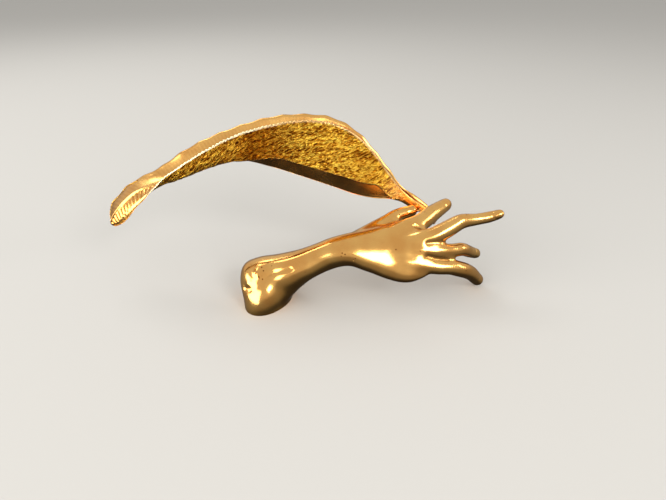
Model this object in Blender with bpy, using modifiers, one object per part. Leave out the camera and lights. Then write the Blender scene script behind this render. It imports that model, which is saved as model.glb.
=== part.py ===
"""Hood ornament: a right hand, on its forearm, holds a feather between thumb and index finger.

The forearm ends in a flared hollow foot. A plate with a tapped bush closes the foot from below,
so that one stud through the hood skin holds the ornament, and the little finger rests on the skin.

Frame: metres, +Z up, +X from the foot to the finger tips, +Y across the hood. The part stands
on z = 0 and its box is centred on the origin in X and Y. Stations are written in millimetres.
"""
import math

import bpy
import numpy as np
from mathutils import Vector

MM = 0.001
GAP = 0.3                      # clearance between neighbouring solids

# Foot, its plate and what the plate carries (mm)
FOOT_CENTRE = (-23.5, -26.0)   # middle of the foot on the hood
FOOT_LONG_AXIS = (0.447, 0.894)
FOOT_HALF_LONG = 20.5
FOOT_HALF_SHORT = 14.2
RIM_WALL = 3.2                 # width of the rim that rests on the hood
GASKET_THICK = 1.6
PLATE_THICK = 3.0
LEDGE_DEPTH = 5.2              # how far the plate's seat lies above the hood
HOLLOW_HALF_LONG = 9.5         # the narrower hollow above the seat
HOLLOW_HALF_SHORT = 8.5
HOLLOW_TOP = 23.0
SCREW_OFFSET = 13.2            # plate screws, on the long axis before and behind the bush
SCREW_DIAMETER = 3.0
SCREW_HEAD = 5.6
SCREW_HEAD_HEIGHT = 1.6
SCREW_LENGTH = 9.0
SCREW_CHAMFER = 0.4
SCREW_HOLE_TOP = 15.0
SLOT_BAR = 2.0                 # the driver's slot is cut by a square bar of this diagonal,
SLOT_SINK = 0.45               # whose middle lies this far below the head
BUSH_DIAMETER = 11.0
BUSH_FLANGE = 14.0
BUSH_FLANGE_THICK = 2.0
BUSH_TOP = 13.0
BUSH_LOW = 0.4                 # the bush stops short of the hood skin
TAPPED_HOLE = 6.8              # tapping size for an M8 stud

# Feather and its pin (mm)
FEATHER_THICK = 1.6
FLAT_TIP = 8.0                 # how strongly the flat tip's own face says which side is in
THICK_SHARE = 0.24             # thinner where this share of the feather's width is less
KEEL_THICKENING = 1.15         # the keel is this much thicker than the walls
QUILL_CORE = 4.0               # the quill's solid end, where the pin crosses it
QUILL_CLEARANCE = 0.6          # round the quill, between thumb and finger
PIN_START = (73.0, 15.6, 45.6)
PIN_END = (95.0, 17.5, 47.5)
PIN_DIAMETER = 1.6

# Cutting shapes (mm)
OVERCUT = 2.0                  # how far a cutter reaches past the face that it opens
TRIM_REACH = 400.0             # the block that trims the arm at the hood
TRIM_DEPTH = 30.0

# How finely the castings are meshed, and the angles in degrees above which an edge stays sharp
SKIN_VOXEL = 1.0
SKIN_SMOOTHING = 4
SKIN_KEEP = 0.14
FEATHER_STEPS = 56
FEATHER_ACROSS = 16
ARM_CREASE = 50.0
FEATHER_CREASE = 60.0
PLAIN_CREASE = 35.0

# The arm from foot to knuckles: a point on its back, the point opposite it on its palm side,
# each x, y, z, and half its width across them.
ARM = (
    ((-36.0, -19.7, -5.0), (-11.0, -32.3, -5.0), 20.5),
    ((-37.0, -19.5, 4.0), (-10.3, -32.0, 3.0), 20.5),
    ((-41.6, -20.0, 14.4), (-7.8, -29.5, 4.5), 19.0),
    ((-40.0, -20.5, 23.6), (-5.0, -27.0, 6.5), 17.5),
    ((-31.2, -21.5, 28.8), (-2.0, -25.5, 9.5), 15.5),
    ((-18.8, -22.5, 31.2), (1.5, -24.3, 12.5), 13.8),
    ((-6.0, -23.0, 34.4), (5.5, -23.3, 16.0), 12.3),
    ((7.4, -22.2, 38.7), (14.6, -21.0, 20.5), 10.4),
    ((19.6, -22.4, 42.9), (24.4, -18.4, 24.3), 10.8),
    ((32.0, -23.3, 43.4), (32.0, -15.5, 26.6), 12.2),
    ((43.5, -24.1, 40.8), (42.5, -13.5, 26.8), 14.8),
    ((55.4, -23.2, 37.8), (54.6, -11.6, 26.2), 18.0),
    ((66.0, -22.0, 36.0), (66.0, -11.6, 26.0), 19.6),
    ((76.0, -21.0, 36.2), (76.0, -12.2, 27.2), 18.8),
    ((83.0, -19.9, 36.5), (83.0, -12.1, 28.9), 15.5),
)

# Every finger is a list of stations along its middle: x, y, z, half width, half thickness.
THUMB = (
    (30.0, -18.0, 37.0, 7.0, 7.0),
    (45.0, -3.0, 38.0, 6.6, 6.6),
    (56.0, 5.0, 41.6, 5.6, 5.6),
    (66.0, 12.4, 44.6, 4.9, 4.8),
    (76.4, 16.6, 46.2, 4.2, 3.9),
)
INDEX_FINGER = (
    (46.0, -12.0, 36.6, 6.0, 5.6),
    (58.0, -9.0, 39.6, 6.8, 6.2),
    (69.0, -4.8, 42.2, 7.0, 6.4),
    (79.0, 0.4, 44.2, 6.5, 6.1),
    (89.6, 10.0, 47.2, 6.0, 5.7),
    (100.4, 20.0, 49.2, 4.8, 4.6),
)
MIDDLE_FINGER = (
    (52.0, -16.0, 35.6, 5.6, 4.6),
    (72.0, -15.6, 38.0, 6.6, 5.8),
    (87.0, -14.0, 42.2, 6.2, 6.0),
    (96.8, -11.0, 46.2, 5.8, 5.6),
    (105.4, -8.0, 49.8, 5.2, 4.9),
    (116.0, -6.0, 50.4, 4.1, 3.9),
    (125.6, -5.0, 52.0, 3.9, 3.7),
    (131.4, -5.0, 54.0, 3.4, 3.2),
)
RING_FINGER = (
    (52.0, -18.0, 34.0, 5.2, 4.6),
    (72.0, -19.2, 34.6, 5.8, 5.4),
    (89.6, -19.0, 33.8, 5.0, 4.9),
    (99.8, -16.5, 32.6, 4.7, 4.6),
    (107.6, -13.2, 31.4, 4.6, 4.4),
    (112.6, -9.8, 28.0, 4.3, 4.1),
    (119.2, -5.4, 23.8, 3.8, 3.6),
)
LITTLE_FINGER = (
    (52.0, -20.0, 31.0, 5.0, 4.6),
    (70.0, -23.6, 28.0, 5.8, 5.4),
    (89.0, -23.4, 24.0, 5.3, 5.1),
    (98.4, -22.0, 22.8, 5.3, 5.1),
    (105.0, -20.0, 20.2, 5.5, 5.3),
    (114.4, -14.8, 13.8, 5.2, 5.0),
    (121.8, -10.0, 5.2, 4.6, 4.4),
)
FINGERS = (THUMB, INDEX_FINGER, MIDDLE_FINGER, RING_FINGER, LITTLE_FINGER)
# Finger sections are widest towards this direction, made square to the finger.
FINGER_WIDE = np.array([0.5, 1.0, 1.0])

# The fold of skin from the thumb to the index finger, made like a finger but widest aside.
WEB = (
    (34.0, -15.0, 35.0, 7.5, 5.0),
    (46.0, -6.5, 36.8, 7.5, 4.0),
    (57.0, -1.0, 39.6, 6.5, 3.2),
    (65.5, 3.6, 42.0, 4.6, 2.4),
)
WEB_WIDE = np.array([0.0, 1.0, 0.2])

# Feather stations: far edge, keel and near edge, each x, y, z. The last ones are its quill.
FEATHER = (
    ((-134.2, 5.2, 43.2), (-132.6, 3.4, 42.0), (-130.2, 1.4, 41.4)),
    ((-136.0, 8.6, 46.2), (-132.0, 4.0, 44.0), (-126.4, -0.8, 43.4)),
    ((-135.8, 13.0, 52.2), (-127.0, 4.0, 51.0), (-119.0, -4.0, 49.0)),
    ((-129.6, 15.4, 59.6), (-120.0, 4.0, 58.0), (-112.0, -5.0, 57.0)),
    ((-121.0, 16.4, 67.0), (-112.0, 5.0, 64.0), (-105.0, -4.0, 63.5)),
    ((-109.0, 19.0, 73.0), (-103.0, 6.0, 67.5), (-98.0, -3.0, 70.5)),
    ((-99.0, 21.0, 77.4), (-96.0, 8.0, 69.5), (-90.0, -1.0, 78.0)),
    ((-86.0, 24.0, 85.6), (-84.0, 10.0, 72.5), (-79.0, 1.0, 85.0)),
    ((-67.0, 30.0, 94.6), (-65.0, 13.0, 79.0), (-61.0, 5.0, 95.0)),
    ((-46.0, 37.0, 101.0), (-44.0, 17.0, 83.0), (-41.0, 10.0, 103.4)),
    ((-24.0, 42.0, 105.8), (-23.0, 20.0, 77.4), (-20.0, 13.0, 108.4)),
    ((-2.0, 44.0, 107.2), (-2.0, 22.0, 69.6), (0.0, 15.0, 110.6)),
    ((21.0, 41.0, 105.0), (21.0, 23.0, 61.0), (21.0, 16.0, 108.0)),
    ((37.0, 36.0, 97.0), (38.0, 24.0, 54.5), (35.0, 18.0, 100.0)),
    ((52.0, 31.0, 82.0), (51.0, 24.0, 52.0), (50.0, 20.0, 84.0)),
    ((62.0, 28.0, 70.0), (60.0, 24.0, 51.5), (60.0, 22.0, 70.0)),
    ((70.0, 26.0, 60.0), (67.0, 24.0, 50.5), (68.0, 22.0, 60.0)),
    ((79.0, 23.0, 55.0), (75.0, 22.0, 47.0), (76.0, 20.0, 53.0)),
    ((88.0, 18.0, 49.0), (84.0, 17.0, 44.0), (86.0, 16.0, 48.0)),
    ((95.0, 14.0, 41.0), (92.0, 13.0, 37.0), (92.0, 12.0, 40.0)),
)
KEEL_ROUNDING = 0.22               # share of each wall that bends round the keel
WALL_BOW = 0.07                    # how far a wall bulges outward, as a share of its height
BOW_FROM_EDGES = 0.2               # the bulge also leans this much away from the two edges


def clear_scene():
    for thing in list(bpy.data.objects):
        bpy.data.objects.remove(thing, do_unlink=True)


def new_collection(name):
    collection = bpy.data.collections.new(name)
    bpy.context.scene.collection.children.link(collection)
    return collection


def metal(name, colour, roughness, metallic=1.0):
    """A plain Principled finish."""
    material = bpy.data.materials.new(name)
    material.use_nodes = True
    shader = material.node_tree.nodes["Principled BSDF"]
    shader.inputs["Base Color"].default_value = (*colour, 1.0)
    shader.inputs["Roughness"].default_value = roughness
    shader.inputs["Metallic"].default_value = metallic
    return material


def object_from(name, points, faces, collection):
    """A mesh object from points in millimetres."""
    mesh = bpy.data.meshes.new(name)
    mesh.from_pydata((np.asarray(points) * MM).tolist(), [], faces)
    mesh.validate()
    thing = bpy.data.objects.new(name, mesh)
    collection.objects.link(thing)
    return thing


def smooth_rows(stations, count):
    """Rows evenly spaced along one smooth curve through the stations, by cubic Hermite spans."""
    rows = np.asarray(stations, float)
    steps = np.linalg.norm(np.diff(rows[:, :3], axis=0), axis=1)
    along = np.concatenate([[0.0], np.cumsum(steps)])
    slopes = np.gradient(rows, along, axis=0)
    wanted = np.linspace(0.0, along[-1], count)
    span = np.clip(np.searchsorted(along, wanted, side="right") - 1, 0, len(along) - 2)
    length = (along[span + 1] - along[span])[:, None]
    w = (wanted - along[span])[:, None] / length
    start = (2 * w**3 - 3 * w**2 + 1) * rows[span] + (w**3 - 2 * w**2 + w) * length * slopes[span]
    end = (3 * w**2 - 2 * w**3) * rows[span + 1] + (w**3 - w**2) * length * slopes[span + 1]
    return start + end


def oval_tube(middle, wide, thick, around, cap_rows=5):
    """Closed tube of oval sections: for each row a middle and two half axes. Each end closes in
    a dome as deep as the smaller half axis. Gives its points and faces."""
    tangent = np.gradient(middle, axis=0)
    tangent /= np.linalg.norm(tangent, axis=1)[:, None]
    turn = np.linspace(0.0, math.tau, around, endpoint=False)[None, :, None]
    ring = np.cos(turn) * wide[:, None] + np.sin(turn) * thick[:, None]
    rings = [middle[:, None] + ring]
    poles = []
    for end, sign in ((0, -1.0), (-1, 1.0)):
        reach = sign * min(np.linalg.norm(wide[end]), np.linalg.norm(thick[end])) * tangent[end]
        bulge = np.linspace(0.0, math.pi / 2, cap_rows + 2)[1:-1, None, None]
        cap = middle[end] + np.cos(bulge) * ring[end] + np.sin(bulge) * reach
        rings = [cap[::-1]] + rings if end == 0 else rings + [cap]
        poles.append(middle[end] + reach)
    grid = np.concatenate(rings)
    total = len(grid)
    faces = [(i * around + j, i * around + (j + 1) % around,
              (i + 1) * around + (j + 1) % around, (i + 1) * around + j)
             for i in range(total - 1) for j in range(around)]
    first, last, base = total * around, total * around + 1, (total - 1) * around
    faces += [(first, (j + 1) % around, j) for j in range(around)]
    faces += [(last, base + j, base + (j + 1) % around) for j in range(around)]
    return np.concatenate([grid.reshape(-1, 3), poles]), faces


def unit(vectors):
    return vectors / np.linalg.norm(vectors, axis=-1, keepdims=True)


def arm_tube(count=64, around=40):
    """The arm: ovals between its back and palm points, as wide as its half widths say."""
    back, palm = (np.array([station[i] for station in ARM]) for i in range(2))
    half_width = np.array([[station[2]] for station in ARM])
    rows = smooth_rows(np.hstack([(back + palm) / 2, (back - palm) / 2, half_width]), count)
    middle, thick = rows[:, :3], rows[:, 3:6]
    wide = unit(np.cross(thick, np.gradient(middle, axis=0))) * -rows[:, 6:7]
    return oval_tube(middle, wide, thick, around)


def finger_tube(stations, towards=FINGER_WIDE, count=40, around=24):
    """A finger or a fold: ovals square to its spine, widest towards the given direction."""
    rows = smooth_rows(stations, count)
    middle = rows[:, :3]
    tangent = unit(np.gradient(middle, axis=0))
    wide = unit(towards - (tangent @ towards)[:, None] * tangent)
    thick = np.cross(tangent, wide)
    return oval_tube(middle, wide * rows[:, 3:4], thick * rows[:, 4:5], around)


def joined(shapes):
    """Several closed shapes as one set of points and faces."""
    points, faces, offset = [], [], 0
    for shape_points, shape_faces in shapes:
        points.append(shape_points)
        faces += [tuple(index + offset for index in face) for face in shape_faces]
        offset += len(shape_points)
    return np.concatenate(points), faces


def on_foot(along, aside):
    """A place on the foot, from distances along its long axis and aside from it."""
    x = FOOT_CENTRE[0] + along * FOOT_LONG_AXIS[0] - aside * FOOT_LONG_AXIS[1]
    y = FOOT_CENTRE[1] + along * FOOT_LONG_AXIS[1] + aside * FOOT_LONG_AXIS[0]
    return x, y


def oval_block(name, half_long, half_short, low, high, collection):
    """An upright oval block on the foot's own long and short axes, between two heights."""
    bpy.ops.mesh.primitive_cylinder_add(vertices=48, radius=1.0, depth=1.0)
    block = bpy.context.object
    block.name = name
    block.data.name = name
    for vertex in block.data.vertices:
        x, y = on_foot(vertex.co.x * half_long, vertex.co.y * half_short)
        vertex.co = (x * MM, y * MM, (low + (vertex.co.z + 0.5) * (high - low)) * MM)
    move_to(block, collection)
    return block


def rod(name, start, end, diameter, collection, vertices=24):
    """A round rod between two points given in millimetres."""
    start, end = Vector(start) * MM, Vector(end) * MM
    bpy.ops.mesh.primitive_cylinder_add(vertices=vertices, radius=diameter / 2 * MM,
                                        depth=(end - start).length)
    thing = bpy.context.object
    thing.name = name
    thing.data.name = name
    turn = (end - start).to_track_quat("Z", "Y").to_matrix().to_4x4()
    turn.translation = (start + end) / 2
    thing.data.transform(turn)
    move_to(thing, collection)
    return thing


def turned(name, profile, centre, collection, steps=32):
    """A turned piece on an upright axis: (radius, height) pairs in millimetres, top to bottom
    down its outer side, closed on itself, with a Screw modifier."""
    mesh = bpy.data.meshes.new(name)
    points = [(radius * MM, 0.0, height * MM) for radius, height in profile]
    closed = profile[0][0] > 0.0
    edges = [(i, i + 1) for i in range(len(points) - 1)]
    if closed:
        edges.append((len(points) - 1, 0))
    mesh.from_pydata(points, edges, [])
    thing = bpy.data.objects.new(name, mesh)
    thing.location = (centre[0] * MM, centre[1] * MM, 0.0)
    collection.objects.link(thing)
    screw = thing.modifiers.new("turn", "SCREW")
    screw.steps = steps
    screw.render_steps = steps
    screw.use_merge_vertices = True
    screw.merge_threshold = 0.00001
    return thing


def move_to(thing, collection):
    for old in list(thing.users_collection):
        old.objects.unlink(thing)
    collection.objects.link(thing)


def combine(thing, other, name, operation="DIFFERENCE"):
    """Cut another shape away from a thing, or join it on."""
    boolean = thing.modifiers.new(name, "BOOLEAN")
    boolean.operation = operation
    boolean.object = other
    other.hide_render = True
    other.display_type = "WIRE"


def finish(thing, material, angle=PLAIN_CREASE):
    thing.data.materials.clear()
    thing.data.materials.append(material)
    thing.data.shade_smooth()
    thing.data.set_sharp_from_angle(angle=math.radians(angle))


def trough(far, keel, near, across):
    """A grid over rows of far, keel and near points: a V of two bowed walls on a rounded keel.

    Across it, t runs from -1 at the near edge over 0 at the keel to 1 at the far edge. Each
    wall's share of its edge is a softened ramp of t, so that the walls meet in a round keel."""
    t = np.linspace(-1.0, 1.0, across + 1)

    def ramp(value):
        return (np.sqrt(value**2 + KEEL_ROUNDING**2) + value) / 2

    near_share = (ramp(-t) - ramp(0.0) * (1 - t**2)) / ramp(1.0)
    far_share = (ramp(t) - ramp(0.0) * (1 - t**2)) / ramp(1.0)
    to_near, to_far = (near - keel)[:, None], (far - keel)[:, None]
    grid = keel[:, None] + near_share[None, :, None] * to_near + far_share[None, :, None] * to_far
    bow = WALL_BOW * np.sin(math.pi * np.abs(t))[None, :, None]
    side = np.where((t < 0)[None, :, None], to_near - to_far, to_far - to_near)
    return grid + bow * (side - BOW_FROM_EDGES * (to_near + to_far))


def shell_between(outer, inner):
    """Points and faces of the closed wall between two grids of the same size."""
    rows, columns = outer.shape[:2]
    size = rows * columns
    index = np.arange(size).reshape(rows, columns)
    rim = np.concatenate([index[0, :-1], index[:-1, -1], index[-1, :0:-1], index[:0:-1, 0]])
    quads = np.stack([index[:-1, :-1], index[:-1, 1:], index[1:, 1:], index[1:, :-1]], axis=-1)
    quads = quads.reshape(-1, 4)
    after = np.roll(rim, -1)
    edge = np.stack([after, rim, rim + size, after + size], axis=-1)
    faces = np.concatenate([quads, quads[:, ::-1] + size, edge])
    return np.concatenate([outer.reshape(-1, 3), inner.reshape(-1, 3)]), faces.tolist()


def build_feather(collection, cutters, material):
    """The feather: its as-cast outer face, its barbed inner face and the wall between them,
    with a solid core in the quill's end where the pin crosses it."""
    far, keel, near = (smooth_rows([station[i] for station in FEATHER], FEATHER_STEPS)
                       for i in range(3))
    across = unit(far - near)
    facing = unit(np.cross(np.gradient(keel, axis=0), across))
    from_tip = np.linspace(0.0, 1.0, FEATHER_STEPS)[:, None]
    rise = unit((far + near) / 2 - keel + FLAT_TIP * (1 - from_tip) ** 4 * facing)
    spread = np.linalg.norm(far - near, axis=1, keepdims=True)
    wall = np.minimum(FEATHER_THICK, THICK_SHARE * spread)
    outer = trough(far, keel, near, FEATHER_ACROSS)
    inner = trough(far - wall * across, keel + KEEL_THICKENING * wall * rise, near + wall * across,
                   FEATHER_ACROSS)
    points, faces = shell_between(outer, inner)
    feather = object_from("feather_casting", points, faces, collection)

    stations = []
    for corners in FEATHER[-3:]:
        stations.append((*np.mean(corners, axis=0), QUILL_CORE / 2, QUILL_CORE / 2))
    points, faces = finger_tube(stations, count=16, around=16)
    core = object_from("quill_core", points, faces, cutters)
    combine(feather, core, "quill core", "UNION")
    finish(feather, material, FEATHER_CREASE)
    return feather


def quill_seat(cutters):
    """The clearance that the quill's end needs between thumb and finger."""
    stations = []
    for far, keel, near in FEATHER[-5:]:
        corners = np.array([far, keel, near])
        middle = corners.mean(axis=0)
        reach = np.linalg.norm(corners - middle, axis=1).max() + QUILL_CLEARANCE
        stations.append((*middle, reach, reach))
    points, faces = finger_tube(stations, count=24, around=20)
    return object_from("quill_clearance", points, faces, cutters)


def build_arm(collection, cutters, material, seat):
    shapes = [arm_tube(), finger_tube(WEB, WEB_WIDE)] + [finger_tube(finger) for finger in FINGERS]
    points, faces = joined(shapes)
    arm = object_from("arm_casting", points, faces, collection)
    skin = arm.modifiers.new("skin", "REMESH")
    skin.mode = "VOXEL"
    skin.voxel_size = SKIN_VOXEL * MM
    soften = arm.modifiers.new("soften", "SMOOTH")
    soften.factor = 0.5
    soften.iterations = SKIN_SMOOTHING
    thin = arm.modifiers.new("thin", "DECIMATE")
    thin.ratio = SKIN_KEEP
    under = oval_block("under_hood_line", TRIM_REACH, TRIM_REACH, -TRIM_DEPTH, 0.0, cutters)
    combine(arm, under, "stand flat")
    recess = oval_block("plate_recess", FOOT_HALF_LONG - RIM_WALL, FOOT_HALF_SHORT - RIM_WALL,
                        -OVERCUT, LEDGE_DEPTH, cutters)
    combine(arm, recess, "plate recess")
    hollow = oval_block("foot_hollow", HOLLOW_HALF_LONG, HOLLOW_HALF_SHORT, -OVERCUT, HOLLOW_TOP,
                        cutters)
    combine(arm, hollow, "foot hollow")
    combine(arm, seat, "quill seat")
    for name, along in (("screw_hole_1", -SCREW_OFFSET), ("screw_hole_2", SCREW_OFFSET)):
        x, y = on_foot(along, 0.0)
        hole = rod(name, (x, y, -OVERCUT), (x, y, SCREW_HOLE_TOP), SCREW_DIAMETER + 2 * GAP,
                   cutters)
        combine(arm, hole, name)
    finish(arm, material, ARM_CREASE)
    return arm


def build_foot(collection, cutters, brass, steel, rubber):
    x0, y0 = FOOT_CENTRE
    half_long = FOOT_HALF_LONG - RIM_WALL - GAP
    half_short = FOOT_HALF_SHORT - RIM_WALL - GAP
    plate_low = LEDGE_DEPTH - GAP - PLATE_THICK
    plate_top = LEDGE_DEPTH - GAP

    plate = oval_block("foot_plate", half_long, half_short, plate_low, plate_top, collection)
    bore = rod("bush_bore", (x0, y0, -OVERCUT), (x0, y0, BUSH_TOP), BUSH_DIAMETER + 2 * GAP,
               cutters, 32)
    combine(plate, bore, "bush bore")
    finish(plate, brass)

    gasket = oval_block("foot_gasket", half_long, half_short, 0.0, GASKET_THICK, collection)
    combine(gasket, bore, "bush bore")
    finish(gasket, rubber)

    radius, flange, hole = BUSH_DIAMETER / 2, BUSH_FLANGE / 2, TAPPED_HOLE / 2
    flange_low = plate_top + GAP
    turned("threaded_insert", (
        (hole, BUSH_TOP), (radius, BUSH_TOP), (radius, flange_low + BUSH_FLANGE_THICK),
        (flange, flange_low + BUSH_FLANGE_THICK), (flange, flange_low), (radius, flange_low),
        (radius, BUSH_LOW), (hole, BUSH_LOW),
    ), FOOT_CENTRE, collection)
    finish(bpy.data.objects["threaded_insert"], steel)

    head, shank = SCREW_HEAD / 2, SCREW_DIAMETER / 2
    low = GASKET_THICK + GAP
    for number, along in ((1, -SCREW_OFFSET), (2, SCREW_OFFSET)):
        x, y = on_foot(along, 0.0)
        sink = turned(f"screw_sink_{number}", (
            (0.0, SCREW_HOLE_TOP), (shank + GAP, SCREW_HOLE_TOP),
            (shank + GAP, low + SCREW_HEAD_HEIGHT + GAP), (head + GAP, low),
            (head + GAP, low - OVERCUT), (0.0, low - OVERCUT),
        ), (x, y), cutters)
        combine(plate, sink, f"screw sink {number}")
        screw = turned(f"foot_plate_screw_{number}", (
            (0.0, low + SCREW_LENGTH), (shank - SCREW_CHAMFER, low + SCREW_LENGTH),
            (shank, low + SCREW_LENGTH - SCREW_CHAMFER), (shank, low + SCREW_HEAD_HEIGHT), (head, low),
            (0.0, low),
        ), (x, y), collection)
        slot = rod(f"screw_slot_{number}", (x - SCREW_HEAD, y, low - SLOT_SINK),
                   (x + SCREW_HEAD, y, low - SLOT_SINK), SLOT_BAR, cutters, 4)
        combine(screw, slot, "slot")
        finish(screw, steel)


def build_pin(collection, cutters, arm, feather, material):
    """The pin that crosses thumb, quill and index finger."""
    pin = rod("quill_pin", PIN_START, PIN_END, PIN_DIAMETER, collection, 16)
    margin = (Vector(PIN_END) - Vector(PIN_START)).normalized() * GAP
    room = rod("pin_bore", Vector(PIN_START) - margin, Vector(PIN_END) + margin,
               PIN_DIAMETER + 2 * GAP, cutters, 16)
    combine(arm, room, "pin bore")
    combine(feather, room, "pin bore")
    finish(pin, material)


def main():
    clear_scene()
    ornament = new_collection("hood_ornament")
    cutters = new_collection("cutters")
    polished = metal("polished_brass", (0.82, 0.55, 0.24), 0.16)
    cast = metal("cast_brass", (0.70, 0.45, 0.16), 0.34)
    plain = metal("plain_brass", (0.72, 0.50, 0.20), 0.30)
    steel = metal("zinc_plated_steel", (0.62, 0.62, 0.60), 0.35)
    rubber = metal("black_rubber", (0.02, 0.02, 0.02), 0.75, 0.0)

    feather = build_feather(ornament, cutters, cast)
    seat = quill_seat(cutters)
    arm = build_arm(ornament, cutters, polished, seat)
    build_foot(ornament, cutters, plain, steel, rubber)
    build_pin(ornament, cutters, arm, feather, plain)


main()
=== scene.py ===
"""Hood ornament: a polished brass hand holds a cast brass feather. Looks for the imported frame."""
import math

import bpy
import numpy as np
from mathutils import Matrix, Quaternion, Vector


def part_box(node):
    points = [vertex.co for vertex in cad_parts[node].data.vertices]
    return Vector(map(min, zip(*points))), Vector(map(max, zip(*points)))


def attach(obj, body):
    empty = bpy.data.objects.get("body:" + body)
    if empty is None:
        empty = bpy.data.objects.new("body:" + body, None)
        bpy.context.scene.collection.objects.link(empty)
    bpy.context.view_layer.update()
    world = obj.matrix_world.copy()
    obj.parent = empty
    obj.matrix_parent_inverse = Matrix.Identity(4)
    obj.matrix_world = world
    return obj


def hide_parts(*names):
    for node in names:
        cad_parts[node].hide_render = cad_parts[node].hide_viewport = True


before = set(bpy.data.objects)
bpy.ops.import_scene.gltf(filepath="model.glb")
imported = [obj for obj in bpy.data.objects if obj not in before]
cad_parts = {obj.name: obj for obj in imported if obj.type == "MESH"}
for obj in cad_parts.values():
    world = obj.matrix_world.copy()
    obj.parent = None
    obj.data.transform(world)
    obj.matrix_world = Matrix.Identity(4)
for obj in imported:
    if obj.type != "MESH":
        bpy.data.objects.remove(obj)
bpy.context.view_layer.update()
MM = 0.001

# ---------------------------------------------------------------------------------------------
# Arm casting: a right forearm and hand poured in one piece of yellow brass, fettled and then
# buffed bright. Its foot is hollow for the plate; the thumb and index finger hold the quill.
# ---------------------------------------------------------------------------------------------

# The arm from foot to knuckles, in millimetres: a point on its back, the point opposite it on
# its palm side, and half its width across them.
ARM = (
    ((-36.0, -19.7, -5.0), (-11.0, -32.3, -5.0), 20.5),
    ((-37.0, -19.5, 4.0), (-10.3, -32.0, 3.0), 20.5),
    ((-41.6, -20.0, 14.4), (-7.8, -29.5, 4.5), 19.0),
    ((-40.0, -20.5, 23.6), (-5.0, -27.0, 6.5), 17.5),
    ((-31.2, -21.5, 28.8), (-2.0, -25.5, 9.5), 15.5),
    ((-18.8, -22.5, 31.2), (1.5, -24.3, 12.5), 13.8),
    ((-6.0, -23.0, 34.4), (5.5, -23.3, 16.0), 12.3),
    ((7.4, -22.2, 38.7), (14.6, -21.0, 20.5), 10.4),
    ((19.6, -22.4, 42.9), (24.4, -18.4, 24.3), 10.8),
    ((32.0, -23.3, 43.4), (32.0, -15.5, 26.6), 12.2),
    ((43.5, -24.1, 40.8), (42.5, -13.5, 26.8), 14.8),
    ((55.4, -23.2, 37.8), (54.6, -11.6, 26.2), 18.0),
    ((66.0, -22.0, 36.0), (66.0, -11.6, 26.0), 19.6),
    ((76.0, -21.0, 36.2), (76.0, -12.2, 27.2), 18.8),
    ((83.0, -19.9, 36.5), (83.0, -12.1, 28.9), 15.5),
)
# Fingers, in millimetres: stations along the middle, each x, y, z, half width, half thickness.
THUMB = (
    (30.0, -18.0, 37.0, 7.0, 7.0),
    (45.0, -3.0, 38.0, 6.6, 6.6),
    (56.0, 5.0, 41.6, 5.6, 5.6),
    (66.0, 12.4, 44.6, 4.9, 4.8),
    (76.4, 16.6, 46.2, 4.2, 3.9),
)
INDEX_FINGER = (
    (46.0, -12.0, 36.6, 6.0, 5.6),
    (58.0, -9.0, 39.6, 6.8, 6.2),
    (69.0, -4.8, 42.2, 7.0, 6.4),
    (79.0, 0.4, 44.2, 6.5, 6.1),
    (89.6, 10.0, 47.2, 6.0, 5.7),
    (100.4, 20.0, 49.2, 4.8, 4.6),
)
MIDDLE_FINGER = (
    (52.0, -16.0, 35.6, 5.6, 4.6),
    (72.0, -15.6, 38.0, 6.6, 5.8),
    (87.0, -14.0, 42.2, 6.2, 6.0),
    (96.8, -11.0, 46.2, 5.8, 5.6),
    (105.4, -8.0, 49.8, 5.2, 4.9),
    (116.0, -6.0, 50.4, 4.1, 3.9),
    (125.6, -5.0, 52.0, 3.9, 3.7),
    (131.4, -5.0, 54.0, 3.4, 3.2),
)
RING_FINGER = (
    (52.0, -18.0, 34.0, 5.2, 4.6),
    (72.0, -19.2, 34.6, 5.8, 5.4),
    (89.6, -19.0, 33.8, 5.0, 4.9),
    (99.8, -16.5, 32.6, 4.7, 4.6),
    (107.6, -13.2, 31.4, 4.6, 4.4),
    (112.6, -9.8, 28.0, 4.3, 4.1),
    (119.2, -5.4, 23.8, 3.8, 3.6),
)
LITTLE_FINGER = (
    (52.0, -20.0, 31.0, 5.0, 4.6),
    (70.0, -23.6, 28.0, 5.8, 5.4),
    (89.0, -23.4, 24.0, 5.3, 5.1),
    (98.4, -22.0, 22.8, 5.3, 5.1),
    (105.0, -20.0, 20.2, 5.5, 5.3),
    (114.4, -14.8, 13.8, 5.2, 5.0),
    (121.8, -10.0, 5.2, 4.6, 4.4),
)
FINGERS = (THUMB, INDEX_FINGER, MIDDLE_FINGER, RING_FINGER, LITTLE_FINGER)
WEB = (                                     # the fold of skin from the thumb to the index finger
    (34.0, -15.0, 35.0, 7.5, 5.0),
    (46.0, -6.5, 36.8, 7.5, 4.0),
    (57.0, -1.0, 39.6, 6.5, 3.2),
    (65.5, 3.6, 42.0, 4.6, 2.4),
)
WEB_WIDE = np.array([0.0, 1.0, 0.2])
FINGER_WIDE = np.array([0.5, 1.0, 1.0])     # finger sections are widest towards this
HAND_BACK = np.array([0.0, -0.72, 0.69])    # which way the back of the hand faces
FOOT_CENTRE = (-23.5, -26.0)
FOOT_LONG_AXIS = (0.447, 0.894)
ARM_ROWS, ARM_AROUND = 160, 96
FINGER_ROWS, FINGER_AROUND = 90, 48
ROUGH_VOXEL = 1.0         # the skin is filed on a rough mesh, then on a fine one
FINE_VOXEL = 0.52
ROUGH_FILING = 28         # rounds of filing on each
FINE_FILING = 14
FILL_SHARE = 0.9          # how far a point in a groove goes to its neighbours' mean
WEAR_SHARE = 0.06         # and a point on a round
LAST_SMOOTHING = 4
ROOT_FILING = 40          # further rounds near these two roots, the index and the little finger's
ROOT_REACH = 8.0
FINGER_ROOTS = ((77.0, -2.0, 47.0), (74.0, -25.0, 29.0))


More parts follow.
